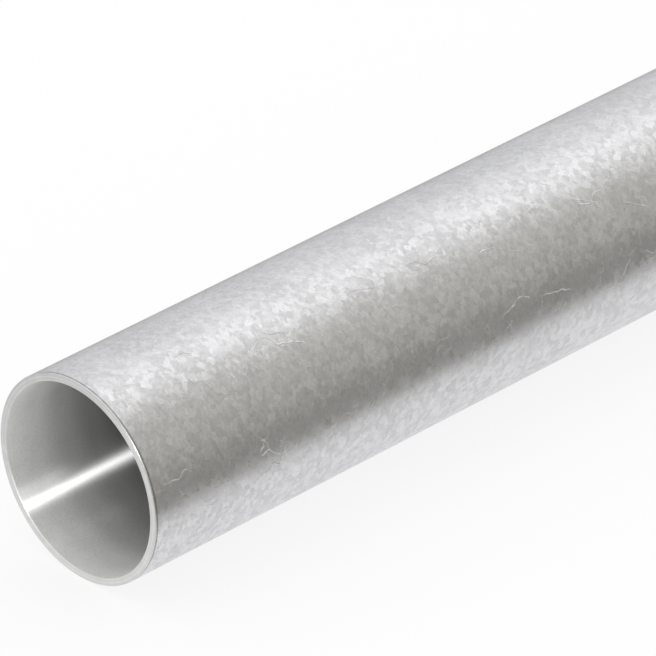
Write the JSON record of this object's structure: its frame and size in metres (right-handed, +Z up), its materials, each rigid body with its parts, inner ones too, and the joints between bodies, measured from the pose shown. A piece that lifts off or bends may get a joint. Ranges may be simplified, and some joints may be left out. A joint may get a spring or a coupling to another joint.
{
  "type": "galvanised steel tube",
  "caption": "Straight round thin-walled galvanised steel tube with square cut, lightly bevelled ends, open right through, lying on its side.",
  "frame": {"origin": "on the line where the tube touches the floor, half way between its two cut ends", "axes": "+Y along the tube's axis, +Z up, +X across the tube"},
  "size_m": [0.0604, 1, 0.0601],
  "materials": {
    "galvanised_steel": "zinc coated, fine spangle"
  },
  "bodies": {
    "root": {"tube": "galvanised_steel"}
  },
  "joints": []
}
